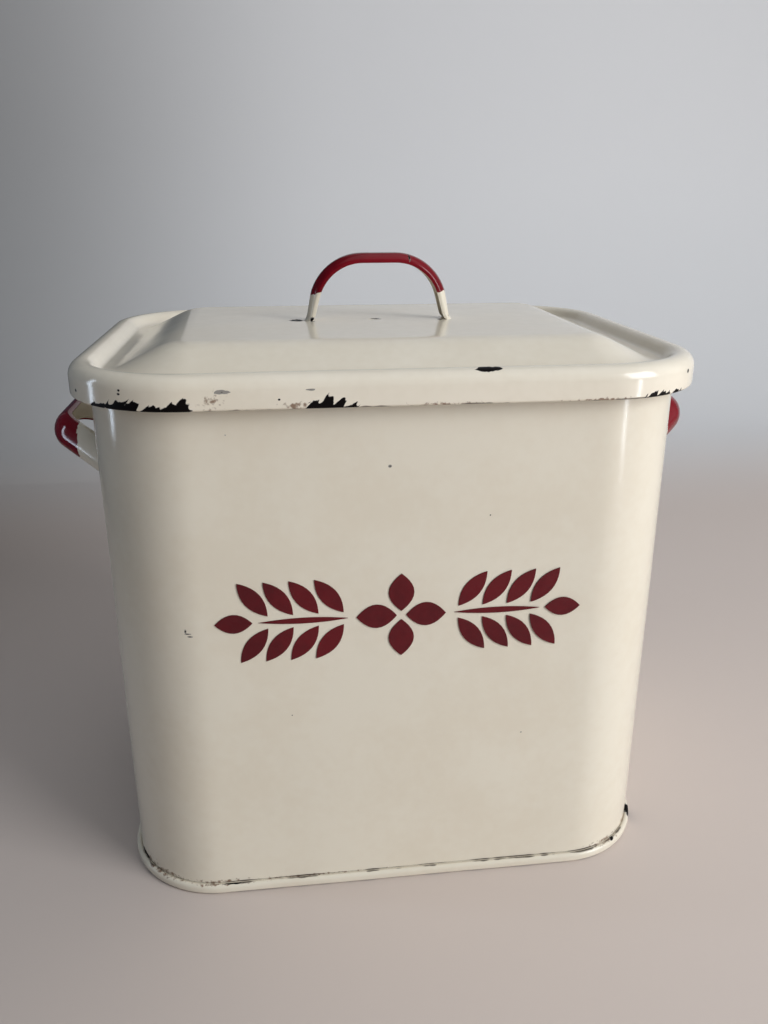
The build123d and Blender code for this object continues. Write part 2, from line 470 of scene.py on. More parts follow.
def face_out(bm, point, outward):
    """Turn all the faces round if the one nearest this point looks the other way."""
    bm.normal_update()
    nearest = min(bm.faces, key=lambda face: (face.calc_center_median() - point).length)
    if nearest.normal.dot(outward) < 0:
        bmesh.ops.reverse_faces(bm, faces=bm.faces)


print("straps of %.1f mm sheet" % (1000 * STRAP_SHEET))

# %% [markdown]
# The lid's handle is an arch whose ends run out into tabs along the lid. It's drawn as one sweep over the
# arch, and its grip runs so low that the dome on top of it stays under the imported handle's crest.

# %% Bend the lid's handle
TAB = 10 * MM
FOOT_R = 4 * MM
KNEE_R = 29.5 * MM
STRAP_WIDTH = 14 * MM
DOME = 3.0 * MM
FLANGE = 2.4 * MM
handle_low, handle_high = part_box("lid_handle")
seat = lid_high.z
arch_middle = (handle_low.x + handle_high.x) / 2
tip = (handle_high.x - handle_low.x) / 2
foot = tip - TAB
knee = 32.7 * MM
grip_height = handle_high.z - DOME - 0.3 * MM


def on_arch(x, z):
    """The point this far to the right of the arch's middle and this high."""
    return Vector((arch_middle + x, 0, z))


bm = bend_strap(
    [
        on_arch(tip, seat + STRAP_SHEET),
        on_arch(foot, seat + STRAP_SHEET),
        on_arch(knee, grip_height),
        on_arch(-knee, grip_height),
        on_arch(-foot, seat + STRAP_SHEET),
        on_arch(-tip, seat + STRAP_SHEET),
    ],
    [FOOT_R, KNEE_R, KNEE_R, FOOT_R],
    Vector((0, 1, 0)),
    STRAP_WIDTH,
    DOME,
    FLANGE,
)
print("arch of %.0f mm, %.1f mm high" % (2000 * foot, 1000 * (handle_high.z - seat)))

# %% [markdown]
# The tabs are beaten flat and welded down. Flattening squashes the channel towards the lid and spreads its
# flanges sideways, and it grows smoothly along the last millimetres of the leg. The tips are rounded off
# and sink, and a cut just under the lid's skin takes off what would poke through it.

# %% Beat the tabs flat
FLATTEN_START = 1.5 * MM
FLATTEN_OVER = 5 * MM
FLATTENED = 0.88
TIP_OVER = 3.8 * MM
TIP_NARROWED = 0.97
TIP_SINK = 1.6 * MM
CUT_DEPTH = 0.3 * MM
STRAP_EDGE = 0.4 * MM
flat_level = seat + 0.3 * STRAP_SHEET

for vert in bm.verts:
    past = abs(vert.co.x - arch_middle) - foot
    flat = min(max((past + FLATTEN_START) / FLATTEN_OVER, 0), 1)
    flat = flat * flat * (3 - 2 * flat)
    round_off = min(max(past / TIP_OVER, 0), 1)
    drop = max(flat_level - vert.co.z, 0)
    side = 1 if vert.co.y > 0 else -1
    vert.co.y = (vert.co.y + side * flat * drop) * sqrt(1 - TIP_NARROWED * round_off)
    vert.co.z += (flat_level - vert.co.z) * FLATTENED * flat - TIP_SINK * round_off ** 2
bmesh.ops.bisect_plane(bm, geom=bm.verts[:] + bm.edges[:] + bm.faces[:], dist=CUT_TOLERANCE,
                       plane_co=(0, 0, seat - CUT_DEPTH), plane_no=(0, 0, 1), clear_inner=True)
face_out(bm, on_arch(0, handle_high.z), Vector((0, 0, 1)))
lid_strap = finish_piece(bm, "lid_strap", "lid", STRAP_SHEET, STRAP_EDGE)
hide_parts("lid_handle")
print("tabs flattened over %.0f mm" % (1000 * FLATTEN_OVER))

# %% [markdown]
# The side handles are wider and slope up from the end walls, so a hand can hook under them. Both are the
# same arch drawn in a sloping plane. The legs run on into the wall, and a cut inside its sheet ends them.

# %% Bend the side handles
SLOPE = radians(24)
SIDE_DOME = 3.3 * MM
SIDE_WIDTH = 17.5 * MM
SIDE_FLANGE = 3.5 * MM
SIDE_KNEE_R = 20 * MM
root_height = wall_high.z - 58.35 * MM
side_foot = 56 * MM
side_knee = 30 * MM
side_reach = 34.8 * MM - SIDE_DOME
buried = SIDE_WIDTH
splay = buried * (side_foot - side_knee) / side_reach
cut_place = half_length - 0.6 * MM


def make_side_strap(side, name, replaced):
    """Bend the handle of one end, -1 for the left and 1 for the right."""
    root = Vector((side * half_length, 0, root_height))
    along = Vector((0, -side, 0))
    outward = Vector((side * cos(SLOPE), 0, sin(SLOPE)))
    corners = [(side_foot + splay, -buried), (side_knee, side_reach),
               (-side_knee, side_reach), (-side_foot - splay, -buried)]
    bm = bend_strap(
        [root + along * u + outward * v for u, v in corners],
        [SIDE_KNEE_R, SIDE_KNEE_R],
        Vector((side * sin(SLOPE), 0, -cos(SLOPE))),
        SIDE_WIDTH,
        SIDE_DOME,
        SIDE_FLANGE,
    )
    bmesh.ops.bisect_plane(bm, geom=bm.verts[:] + bm.edges[:] + bm.faces[:], dist=CUT_TOLERANCE,
                           plane_co=(side * cut_place, 0, 0), plane_no=(side, 0, 0), clear_inner=True)
    face_out(bm, root + outward * (side_reach + SIDE_DOME), outward)
    strap = finish_piece(bm, name, "bin", STRAP_SHEET, STRAP_EDGE)
    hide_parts(replaced)
    return strap


left_strap = make_side_strap(-1, "left_strap", "left_side_handle")
right_strap = make_side_strap(1, "right_strap", "right_side_handle")

# %% [markdown]
# The front carries a stencilled ornament in dark red: two ears of wheat and four petals. A stencil's shapes
# must stand apart, because the plate between them has to hold together. Each grain is a circle pinched to a
# pointed lens, and the paint stands a fraction of a millimetre proud.

# %% Stencil the ornament
ORNAMENT_UP = 176.5 * MM
PAINT = 0.6 * MM
PAINT_LIFT = 0.1 * MM
EAR_START = 39 * MM
EAR_PITCH = 13.5 * MM
EAR_SPREAD = 13.5 * MM
EAR_LEAN = radians(52)
PETAL_OUT = 13.5 * MM


def add_grain(bm, x, z, length, width, turn):
    """Add a pointed grain to the front, turned by this angle."""
    grain = bmesh.ops.create_circle(bm, cap_ends=True, segments=28, radius=1)["verts"]
    for vert in grain:
        vert.co.y *= abs(vert.co.y)
    bmesh.ops.scale(bm, verts=grain, vec=(length / 2, width / 2, 1))
    bmesh.ops.rotate(bm, verts=grain, cent=(0, 0, 0), matrix=Matrix.Rotation(turn, 3, "Z"))
    bmesh.ops.rotate(bm, verts=grain, cent=(0, 0, 0), matrix=Matrix.Rotation(pi / 2, 3, "X"))
    bmesh.ops.translate(bm, verts=grain, vec=(x, -half_depth + PAINT_LIFT, ORNAMENT_UP + z))


bm = bmesh.new()
for side in (-1, 1):
    for count in range(4):
        x = side * (EAR_START + EAR_PITCH * count)
        for tilt in (-1, 1):
            add_grain(bm, x, tilt * EAR_SPREAD, 25 * MM, 9.6 * MM, side * tilt * EAR_LEAN)
    add_grain(bm, side * 90 * MM, 0, 20 * MM, 11 * MM, 0)
    add_grain(bm, side * 53 * MM, 0, 48 * MM, 3.4 * MM, 0)
for quarter in range(4):
    turn = quarter * pi / 2
    add_grain(bm, PETAL_OUT * cos(turn), PETAL_OUT * sin(turn), 22 * MM, 14 * MM, turn)
bmesh.ops.recalc_face_normals(bm, faces=bm.faces)
grain_count = len(bm.faces)
ornament = finish_piece(bm, "ornament", "bin", PAINT, PAINT_LIFT, smooth=False)
print("%d stencilled shapes" % grain_count)

# %% [markdown]
# # Enamel
# Vitreous enamel is glass fused to steel: smooth, glossy and a little wavy. Where it's knocked off, the
# steel turns black, and rust creeps out of the folds. Each of these effects becomes a node group of its
# own. A few small helpers keep the node code short. Two do most of the work: one adds a node and one does a
# sum.

# %% Helpers for nodes
def add_node(tree, kind, inputs=None, **settings):
    """Add a node, and give each input a value or a link from another node's output."""
    made = tree.nodes.new("ShaderNode" + kind)
    for name, value in settings.items():
        setattr(made, name, value)
    for key, value in (inputs or {}).items():
        if isinstance(value, bpy.types.NodeSocket):
            tree.links.new(value, made.inputs[key])
        else:
            made.inputs[key].default_value = value
    return made


def calc(tree, operation, *values):
    """Work out a sum in a Math node and return its result."""
    return add_node(tree, "Math", dict(enumerate(values)), operation=operation).outputs[0]


def ramp(tree, value, low, high, start=0.0, stop=1.0):
    """Turn a value smoothly from start to stop while it goes from low to high."""
    ends = {"Value": value, "From Min": low, "From Max": high, "To Min": start, "To Max": stop}
    return add_node(tree, "MapRange", ends, interpolation_type="SMOOTHSTEP").outputs["Result"]


def speckle(tree, position, size, detail=2.0):
    """Noise whose spots are about this large."""
    made = add_node(tree, "TexNoise", {"Vector": position, "Scale": 0.5 / size, "Detail": detail})
    return made.outputs["Fac"]


def blend(tree, factor, first, second):
    """Go from the first colour to the second by the factor."""
    made = add_node(tree, "Mix", {0: factor, 6: first, 7: second}, data_type="RGBA")
    return made.outputs[2]


print("helpers ready")

# %% [markdown]
# A node group works like a function. Its sockets are named on its interface, and each material that uses it
# hands in its own values. A new material already has a shader, which the nodes then feed.

# %% Helpers for groups and materials
def new_group(name, takes, gives):
    """Start a node group with named sockets and return it with its inputs and its outputs."""
    group = bpy.data.node_groups.new(name, "ShaderNodeTree")
    for socket, kind in takes.items():
        group.interface.new_socket(socket, in_out="INPUT", socket_type="NodeSocket" + kind)
    for socket, kind in gives.items():
        group.interface.new_socket(socket, in_out="OUTPUT", socket_type="NodeSocket" + kind)
    return group, group.nodes.new("NodeGroupInput").outputs, group.nodes.new("NodeGroupOutput").inputs


def use_group(tree, group, inputs):
    """Put a group into a tree and return its outputs."""
    return add_node(tree, "Group", inputs, node_tree=group).outputs


def new_material(name):
    """Start a material and return it with its node tree and its shader."""
    material = bpy.data.materials.new(name)
    material.use_nodes = True
    return material, material.node_tree, material.node_tree.nodes["Principled BSDF"]


print("group and material helpers ready")

# %% [markdown]
# Two kinds of noise do the rough work, and every mark on a piece shares them. One tears the borders of
# chips at two scales, and it's drawn out along a slope because glass breaks in leaning splinters. The other
# breaks stains into specks.

# %% Group for roughness of outline
LEAN = 0.8
DRAWN_OUT = 0.4
COARSE_TEAR = 2.1 * MM
FINE_TEAR = 0.6 * MM
SPECK = 1.1 * MM


def swing(tree, value, rest, strength):
    """Make a value swing about nought, by its distance from a resting value."""
    return calc(tree, "MULTIPLY", calc(tree, "SUBTRACT", value, rest), strength)


torn_group, given, result = new_group(
    "torn outline", {"Position": "Vector"}, {"Torn": "Float", "Specks": "Float"})
parts = add_node(torn_group, "SeparateXYZ", {0: given["Position"]}).outputs
leaning = calc(torn_group, "SUBTRACT", parts["X"], calc(torn_group, "MULTIPLY", parts["Z"], LEAN))
low = calc(torn_group, "MULTIPLY", parts["Z"], DRAWN_OUT)
spiky = add_node(torn_group, "CombineXYZ", {"X": leaning, "Y": parts["Y"], "Z": low}).outputs[0]
coarse = speckle(torn_group, spiky, COARSE_TEAR, 1.0)
fine = speckle(torn_group, given["Position"], FINE_TEAR, 0.0)
splinters = calc(torn_group, "ABSOLUTE", calc(torn_group, "SUBTRACT", coarse, 0.5))
torn = calc(torn_group, "ADD", swing(torn_group, splinters, 0.09, 3.0), swing(torn_group, fine, 0.5, 0.18))
torn_group.links.new(torn, result["Torn"])
specks = speckle(torn_group, given["Position"], SPECK, 2.0)
torn_group.links.new(swing(torn_group, specks, 0.55, 5.0), result["Specks"])
print("torn outline group has %d nodes" % len(torn_group.nodes))

# %% [markdown]
# A chip is an ellipsoid placed in the object's own space, with a torn border. Its core shows bare steel,
# and a narrow rim round it shows the grey ground coat, because the glass breaks off in steps.

# %% Group for chips
def reach_from(tree, given):
    """How far a point is from a mark's centre, where 1 is the mark's border."""
    offset = add_node(tree, "VectorMath", {0: given["Position"], 1: given["Centre"]}, operation="SUBTRACT")
    share = add_node(tree, "VectorMath", {0: offset.outputs[0], 1: given["Half Size"]}, operation="DIVIDE")
    return add_node(tree, "VectorMath", {0: share.outputs[0]}, operation="LENGTH").outputs["Value"]


chip_group, given, result = new_group(
    "chip",
    {"Position": "Vector", "Centre": "Vector", "Half Size": "Vector",
     "Torn": "Float", "Ragged": "Float", "Rim": "Float"},
    {"Bare": "Float", "Ground": "Float"},
)
reach = calc(chip_group, "ADD", reach_from(chip_group, given),
             calc(chip_group, "MULTIPLY", given["Torn"], given["Ragged"]))
chip_group.links.new(ramp(chip_group, reach, 1.03, 0.97), result["Bare"])
rim_reach = calc(chip_group, "SUBTRACT", reach, given["Rim"])
chip_group.links.new(ramp(chip_group, rim_reach, 1.05, 0.95), result["Ground"])
print("chip group has %d nodes" % len(chip_group.nodes))

# %% [markdown]
# Rust and grime have no hard border. A stain fades out over its whole size and breaks up into specks.

# %% Group for stains
stain_group, given, result = new_group(
    "stain",
    {"Position": "Vector", "Centre": "Vector", "Half Size": "Vector", "Specks": "Float"},
    {"Stain": "Float"},
)
depth = calc(stain_group, "SUBTRACT", 1.25, reach_from(stain_group, given))
patchy = calc(stain_group, "ADD", depth, given["Specks"])
stain_group.links.new(ramp(stain_group, patchy, 0.0, 1.2), result["Stain"])
print("stain group has %d nodes" % len(stain_group.nodes))

# %% [markdown]
# The coat itself is never one flat colour. It's thicker and paler in some places and yellower in others,
# its gloss varies, and its surface has the fine waves of glass that has flowed.

# %% Group for the glassy coat
CLOUD = 28 * MM
MOTTLE = 3 * MM
FLOW_WAVE = 9 * MM
PEEL = 1.6 * MM
coat_group, given, result = new_group(
    "glassy coat",
    {"Position": "Vector", "Colour": "Color", "Aged Colour": "Color"},
    {"Colour": "Color", "Roughness": "Float", "Height": "Float"},
)
clouds = speckle(coat_group, given["Position"], CLOUD, 1.0)
mottle = speckle(coat_group, given["Position"], MOTTLE, 1.0)
age = calc(coat_group, "ADD", calc(coat_group, "MULTIPLY", clouds, 0.7),
           calc(coat_group, "MULTIPLY", mottle, 0.3))
aged = ramp(coat_group, age, 0.35, 0.68)
coat_group.links.new(blend(coat_group, aged, given["Colour"], given["Aged Colour"]), result["Colour"])
coat_group.links.new(ramp(coat_group, clouds, 0.3, 0.7, 0.10, 0.17), result["Roughness"])
waves = speckle(coat_group, given["Position"], FLOW_WAVE, 0.0)
peel = speckle(coat_group, given["Position"], PEEL, 0.0)
height = calc(coat_group, "ADD", waves, calc(coat_group, "MULTIPLY", peel, 0.14))
coat_group.links.new(height, result["Height"])
print("coat group has %d nodes" % len(coat_group.nodes))

# %% [markdown]
# Creases and edges get a dark line, which is thicker in some stretches than in others. The line lies along a
# level, such as the hem's lower edge or the top of the bead. Along the foot's lowest edge, where the bin
# meets the table, it is painted shade.

# %% Group for dark lines
STRETCH = 7 * MM
line_group, given, result = new_group(
    "dark line", {"Position": "Vector", "Level": "Float", "Width": "Float"}, {"Line": "Float"})
level = add_node(line_group, "SeparateXYZ", {0: given["Position"]}).outputs["Z"]
away = calc(line_group, "ABSOLUTE", calc(line_group, "SUBTRACT", level, given["Level"]))
stretches = ramp(line_group, speckle(line_group, given["Position"], STRETCH, 2.0), 0.38, 0.66, 0.25, 1.4)
width = calc(line_group, "MULTIPLY", given["Width"], stretches)
outside = ramp(line_group, calc(line_group, "DIVIDE", away, width), 0.5, 1.1)
line_group.links.new(calc(line_group, "SUBTRACT", 1.0, outside), result["Line"])
print("line group has %d nodes" % len(line_group.nodes))

# %% [markdown]
# The colours of the coat and of its wear are written once, as the paint would measure in flat light. Where
# two marks of a kind overlap, the stronger one wins.

# %% Colours of the coat and its wear
CREAM = (0.80, 0.74, 0.62, 1)
AGED_CREAM = (0.77, 0.70, 0.575, 1)
RUST = (0.17, 0.075, 0.03, 1)
# The dark line darkens creases and edges, and along the foot's lowest edge it is painted shade.
DARK_LINE_COLOUR = (0.055, 0.038, 0.028, 1)
GROUND = (0.30, 0.28, 0.25, 1)
# BARE also colours the painted shade on the far rim of the lid's vent.
BARE = (0.013, 0.011, 0.011, 1)


def strongest(tree, masks):
    """The strongest of some masks at each point."""
    total = masks[0]
    for mask in masks[1:]:
        total = calc(tree, "MAXIMUM", total, mask)
    return total


print("cream", CREAM[:3])

# %% [markdown]
# Each piece lists its own marks, in mm, because wear sits where that piece gets knocked, rubbed or wet. A
# chip is (centre, half size, how ragged, rim), a stain is (centre, half size) and a line is (height, width).
# One function for each kind places that kind's node group at every mark.

# %% Find the marks of each kind
def find_stains(tree, position, specks, stains):
    """The mask of all the stains."""
    found = [use_group(tree, stain_group, {
        "Position": position,
        "Centre": Vector(centre) * MM,
        "Half Size": Vector(half) * MM,
        "Specks": specks,
    })["Stain"] for centre, half in stains]
    return strongest(tree, found)


def find_lines(tree, position, lines):
    """The mask of all the dark lines."""
    found = [use_group(tree, line_group, {
        "Position": position,
        "Level": up * MM,
        "Width": width * MM,
    })["Line"] for up, width in lines]
    return strongest(tree, found)


def find_chips(tree, position, torn, chips):
    """The masks of the ground coat and of the bare steel that the chips lay open."""
    found = [use_group(tree, chip_group, {
        "Position": position,
        "Centre": Vector(centre) * MM,
        "Half Size": Vector(half) * MM,
        "Torn": torn,
        "Ragged": ragged,
        "Rim": rim,
    }) for centre, half, ragged, rim in chips]
    return [strongest(tree, [mask[layer] for mask in found]) for layer in ("Ground", "Bare")]


print("marks of each kind can be found")

# %% [markdown]
# One function puts it all together into an enamel for a piece. Layers go on in the order in which they lie:
# coat, rust, dark lines, ground coat, bare steel. Bare steel is metallic, which also takes the glass's gloss
# off it. A grip is a function that gives the colours instead.

# %% Put an enamel together
RUST_COVER = 0.85
RUST_ROUGHNESS = 0.5
DARK_LINE_COVER = 0.9
GROUND_ROUGHNESS = 0.55
RIPPLE = 0.16 * MM


def make_enamel(name, colour=CREAM, aged=AGED_CREAM, chips=(), stains=(), lines=(), grip=None, gloss=0.5):
    """An enamel of these colours, or with a grip's, and with these marks."""
    material, tree, shader = new_material(name)
    position = add_node(tree, "TexCoord").outputs["Object"]
    if grip:
        colour, aged = grip(tree, position)
    coat = use_group(tree, coat_group, {"Position": position, "Colour": colour, "Aged Colour": aged})
    rough_edge = use_group(tree, torn_group, {"Position": position})
    shade = coat["Colour"]
    rough = coat["Roughness"]
    shader.inputs["Specular IOR Level"].default_value = gloss
    if stains:
        mask = find_stains(tree, position, rough_edge["Specks"], stains)
        shade = blend(tree, calc(tree, "MULTIPLY", mask, RUST_COVER), shade, RUST)
        rough = calc(tree, "MAXIMUM", rough, calc(tree, "MULTIPLY", mask, RUST_ROUGHNESS))
    if lines:
        mask = find_lines(tree, position, lines)
        shade = blend(tree, calc(tree, "MULTIPLY", mask, DARK_LINE_COVER), shade, DARK_LINE_COLOUR)
    if chips:
        ground, bare = find_chips(tree, position, rough_edge["Torn"], chips)
        shade = blend(tree, ground, shade, GROUND)
        shade = blend(tree, bare, shade, BARE)
        rough = calc(tree, "MAXIMUM", rough, calc(tree, "MULTIPLY", ground, GROUND_ROUGHNESS))
        tree.links.new(bare, shader.inputs["Metallic"])
    bump = add_node(tree, "Bump", {"Strength": 0.5, "Distance": RIPPLE, "Height": coat["Height"]})
    tree.links.new(shade, shader.inputs["Base Color"])
    tree.links.new(rough, shader.inputs["Roughness"])
    tree.links.new(bump.outputs[0], shader.inputs["Normal"])
    return material


print("enamel maker ready")

# %% [markdown]
# Solidify can give the inner side of a sheet a material of its own. The straps use that, because only their
# outer side is red.

# %% Coat a piece
def coat_with(piece, *materials):
    """Give a piece its materials, the second for the inner side of its sheet."""
    for material in materials:
        piece.data.materials.append(material)
    if len(materials) > 1:
        piece.modifiers["sheet"].material_offset = 1


print("ready to coat", wall_shell.name)

# %% [markdown]
# The lid gets the most knocks, because its hem hangs over the rim. Long ragged chips run along its lower
# edge, with small ones on the skirt and one on the ridge. More sit by the handle's feet. The vent's far rim
# is darkened in the same way, as painted shade inside the hole. Two on the skirt have a wide rim and hardly
# a core, because there only the top layer of glass came off.

# %% Coat the lid
lid_chips_and_vent_shade = [
    ((-148.5, -117.0, 293.6), (6.5, 7.0, 2.4), 1.2, 0.05),
    ((-138.5, -124.2, 293.8), (7.0, 7.0, 4.0), 1.3, 0.05),
    ((-131.0, -128.2, 293.6), (4.5, 5.0, 4.6), 1.4, 0.05),
    ((-120.0, -130.8, 293.4), (6.5, 5.0, 3.4), 0.9, 0.05),
    ((-112.5, -132.4, 293.6), (6.0, 5.0, 4.4), 1.0, 0.05),
    ((-106.2, -133.0, 294.4), (3.4, 4.0, 5.4), 0.9, 0.05),
    ((-43.0, -133.0, 293.6), (4.5, 4.0, 3.4), 1.4, 0.05),
    ((-31.5, -133.0, 293.4), (7.0, 4.0, 4.6), 1.4, 0.05),
    ((-37.0, -133.0, 295.2), (3.2, 4.0, 4.6), 1.2, 0.05),
    ((132.0, -127.6, 293.6), (9.0, 6.0, 2.8), 1.4, 0.06),
    ((144.8, -119.8, 293.8), (4.0, 5.0, 2.4), 1.2, 0.06),
    ((41.6, -130.2, 310.9), (6.8, 5.0, 1.4), 0.5, 0.05),
    ((-47.8, -0.5, 319.2), (4.4, 4.8, 1.3), 0.9, 0.12),
    # Painted shade, not a chip: a dark crescent on the vent's far rim stands in for the shade inside the
    # hole.
    ((0.5, 2.7, 317.6), (3.4, 1.9, 1.2), 0.2, 0.10),
    ((-38.5, -6.6, 318.4), (1.3, 1.4, 1.0), 0.5, 0.30),
    ((39.6, -6.2, 318.4), (1.5, 1.4, 1.0), 0.5, 0.30),
    ((-161.1, -101.6, 299.4), (0.8, 1.5, 0.8), 0.4, 0.3),
    ((-136.2, -125.4, 303.8), (0.5, 1.5, 0.45), 0.6, 0.4),
    ((-136.4, -125.3, 302.0), (0.6, 1.5, 0.45), 0.6, 0.4),
    ((152.6, -112.8, 303.8), (0.9, 1.5, 1.0), 0.4, 0.3),
    ((-61.0, -133.0, 299.0), (0.5, 1.5, 0.4), 0.4, 0.3),
    ((-87.4, -133.0, 303.3), (0.5, 2.0, 0.13), 6.0, 6.5),
    ((-46.0, -133.0, 303.4), (0.35, 2.0, 0.08), 5.0, 5.0),
]
lid_stains = [
    ((-93.0, -133.0, 299.0), (4.5, 4.0, 3.6)),
    ((-52.0, -133.0, 295.5), (7.0, 4.0, 1.8)),
    ((-39.0, 3.0, 318.4), (2.4, 2.0, 2.0)),
    ((42.4, 4.4, 318.4), (2.4, 2.0, 2.0)),
    ((20.0, -133.0, 294.6), (14.0, 4.0, 0.9)),
    ((100.0, -133.0, 294.6), (14.0, 4.0, 0.9)),
]
# Painted light: the lid's cream is lighter than the wall's, standing in for the stronger light on the lid.
LID_CREAM_PAINTED_LIGHT = (0.86, 0.79, 0.665, 1)
LID_AGED_PAINTED_LIGHT = (0.82, 0.745, 0.615, 1)
lid_lines = [(293.4, 1.3)]
lid_enamel = make_enamel("lid_enamel", LID_CREAM_PAINTED_LIGHT, LID_AGED_PAINTED_LIGHT, lid_chips_and_vent_shade, lid_stains, lid_lines)
coat_with(lid_shell, lid_enamel)
print("%d chips on the lid" % len(lid_chips_and_vent_shade))

# %% [markdown]
# The wall is cleaner. It has a few specks, a small scratch, and a dark line where it meets the bead. Water
# that stands on the bead has rusted the seam, most of all at the two front corners.

# %% Coat the wall and its lap
wall_chips = [
    ((-6.4, -123.8, 260.9), (0.6, 1.3, 0.5), 0.6, 0.8),
    ((-88.0, -123.8, 279.8), (0.45, 1.3, 0.4), 0.4, 0.3),
    ((-114.4, -123.1, 171.8), (1.7, 1.3, 0.35), 0.8, 0.4),
    ((-115.4, -123.1, 173.4), (0.5, 1.3, 1.2), 0.8, 0.4),
    ((-113.2, -123.1, 170.2), (1.1, 1.3, 0.4), 0.8, 0.4),
    ((47.0, -123.8, 232.0), (0.4, 1.3, 0.4), 0.3, 0.3),
    ((71.0, -123.8, 96.0), (0.45, 1.3, 0.4), 0.3, 0.3),
    ((-61.0, -123.8, 118.0), (0.4, 1.3, 0.4), 0.3, 0.3),
    ((157.0, -88.0, 8.0), (4.0, 7.0, 3.2), 0.8, 0.2),
    ((-154.5, -92.0, 6.6), (4.0, 9.0, 1.2), 0.8, 0.2),
]
wall_stains = [
    ((-141.0, -108.0, 6.6), (14.0, 14.0, 1.7)),
    ((-112.0, -123.0, 6.4), (24.0, 6.0, 1.3)),
    ((-55.0, -123.0, 6.0), (40.0, 4.0, 0.6)),
    ((133.0, -116.0, 6.8), (13.0, 9.0, 1.9)),
    ((150.0, -98.0, 7.5), (7.0, 9.0, 2.6)),
    ((-150.7, -98.0, 8.0), (3.0, 5.0, 3.4)),
]
wall_lines = [(6.1, 0.45)]
body_enamel = make_enamel("body_enamel", chips=wall_chips, stains=wall_stains, lines=wall_lines)
coat_with(wall_shell, body_enamel)
coat_with(wall_lap, body_enamel)
print("%d marks on the wall" % (len(wall_chips) + len(wall_stains)))

# %% [markdown]
# The bead at the foot goes on with the wall's marks, because rust and the dark line run over both sheets of
# the seam. A thin line of painted shade also darkens its lower edge, where it meets the table.

# %% Coat the base
base_chips = [
    ((158.5, -88.5, 4.0), (4.0, 5.5, 3.0), 0.8, 0.2),
    ((137.5, -115.5, 5.9), (1.2, 3.0, 0.7), 0.6, 0.3),
    ((-100.0, -126.0, 5.9), (6.0, 3.0, 0.3), 0.8, 0.1),
]
base_stains = [
    ((-141.0, -108.0, 6.0), (14.0, 14.0, 0.8)),
    ((-112.0, -124.5, 5.9), (24.0, 6.0, 0.5)),
    ((133.0, -117.0, 5.9), (13.0, 9.0, 0.7)),
]
# The second line is painted shade along the foot's lowest edge, where it meets the table.
base_lines = [(6.0, 0.35), (0.1, 0.5)]
base_enamel = make_enamel("base_enamel", chips=base_chips, stains=base_stains, lines=base_lines)
coat_with(base_shell, base_enamel)
print("%d marks on the base" % (len(base_chips) + len(base_stains)))

# %% [markdown]
# The grips are dipped or brushed red over the cream, so the border runs unevenly round each leg, and the
# inner side stays cream. On the lid's handle the border lies at one height. On the side handles it lies at
# one distance from the wall. The straps share one list of marks, because each mark has its own place.

# %% Coat the straps
RED = (0.20, 0.002, 0.009, 1)
DEEP_RED = (0.14, 0.001, 0.006, 1)
BRUSH_WAVE = 3.5 * MM
BRUSH_SWING = 7 * MM


def red_from(axis, level):
    """Paint the grip red past this level of an axis, in mm, whichever side it's on."""
    def paint(tree, position):
        parts = add_node(tree, "SeparateXYZ", {0: position}).outputs
        measure = calc(tree, "ABSOLUTE", parts[axis])
        wavy = swing(tree, speckle(tree, position, BRUSH_WAVE, 2.0), 0.5, BRUSH_SWING)
        past = calc(tree, "ADD", measure, wavy)
        mask = ramp(tree, past, (level - 0.15) * MM, (level + 0.15) * MM)
        return blend(tree, mask, CREAM, RED), blend(tree, mask, AGED_CREAM, DEEP_RED)
    return paint


strap_chips = [
    ((20.5, -6.0, 355.4), (0.5, 3.0, 1.9), 1.6, 0.15),
    ((-38.6, -6.5, 319.4), (1.1, 2.0, 1.2), 0.5, 0.4),
    ((39.8, -6.0, 319.4), (1.3, 2.0, 1.3), 0.5, 0.4),
]
strap_stains = [
    ((-38.0, -3.0, 320.0), (2.5, 4.0, 1.6)),
    ((43.0, -3.0, 320.0), (2.5, 4.0, 1.6)),
    ((-162.5, -52.0, 246.0), (2.0, 3.0, 2.0)),
    ((162.5, -52.0, 246.0), (2.0, 3.0, 2.0)),
]
strap_inside = make_enamel("strap_inside", chips=strap_chips[1:], stains=strap_stains)
lid_red = red_from("Z", 335.0)
lid_grip = make_enamel("lid_grip_enamel", chips=strap_chips, stains=strap_stains, grip=lid_red, gloss=0.3)
side_level = 1000 * half_length + 15.5
side_red = red_from("X", side_level)
side_grip = make_enamel("side_grip_enamel", stains=strap_stains, grip=side_red, gloss=0.4)
coat_with(lid_strap, lid_grip, strap_inside)
coat_with(left_strap, side_grip, strap_inside)
coat_with(right_strap, side_grip, strap_inside)
print("side grips are red past %.1f mm from the middle" % side_level)

# %% [markdown]
# The ornament is the same glass in a deeper red. The wire is plain steel, dulled by years under the roll.

# %% Coat the ornament and the wire
STENCIL_RED = (0.125, 0.003, 0.008, 1)
AGED_STENCIL_RED = (0.085, 0.002, 0.006, 1)
STEEL = (0.42, 0.41, 0.40, 1)
TARNISH = 4 * MM
ornament_enamel = make_enamel("ornament_enamel", STENCIL_RED, AGED_STENCIL_RED, gloss=0.35)
coat_with(ornament, ornament_enamel)

wire_steel, tree, shader = new_material("wire_steel")
position = add_node(tree, "TexCoord").outputs["Object"]
tarnish = speckle(tree, position, TARNISH, 4.0)
shader.inputs["Metallic"].default_value = 0.9
tree.links.new(blend(tree, ramp(tree, tarnish, 0.4, 0.65), STEEL, RUST), shader.inputs["Base Color"])
tree.links.new(ramp(tree, tarnish, 0.3, 0.7, 0.35, 0.75), shader.inputs["Roughness"])
coat_with(wire_ring, wire_steel)
print("materials", len(bpy.data.materials))

# %% [markdown]
# # Stage
# The bin stands on a plain pale sweep: a floor that curves up into a backdrop. It's a section again,
# carried sideways in one straight run.

# %% Lay the floor and the backdrop
BACKDROP = 1.35
SWEEP_SIDE = 7

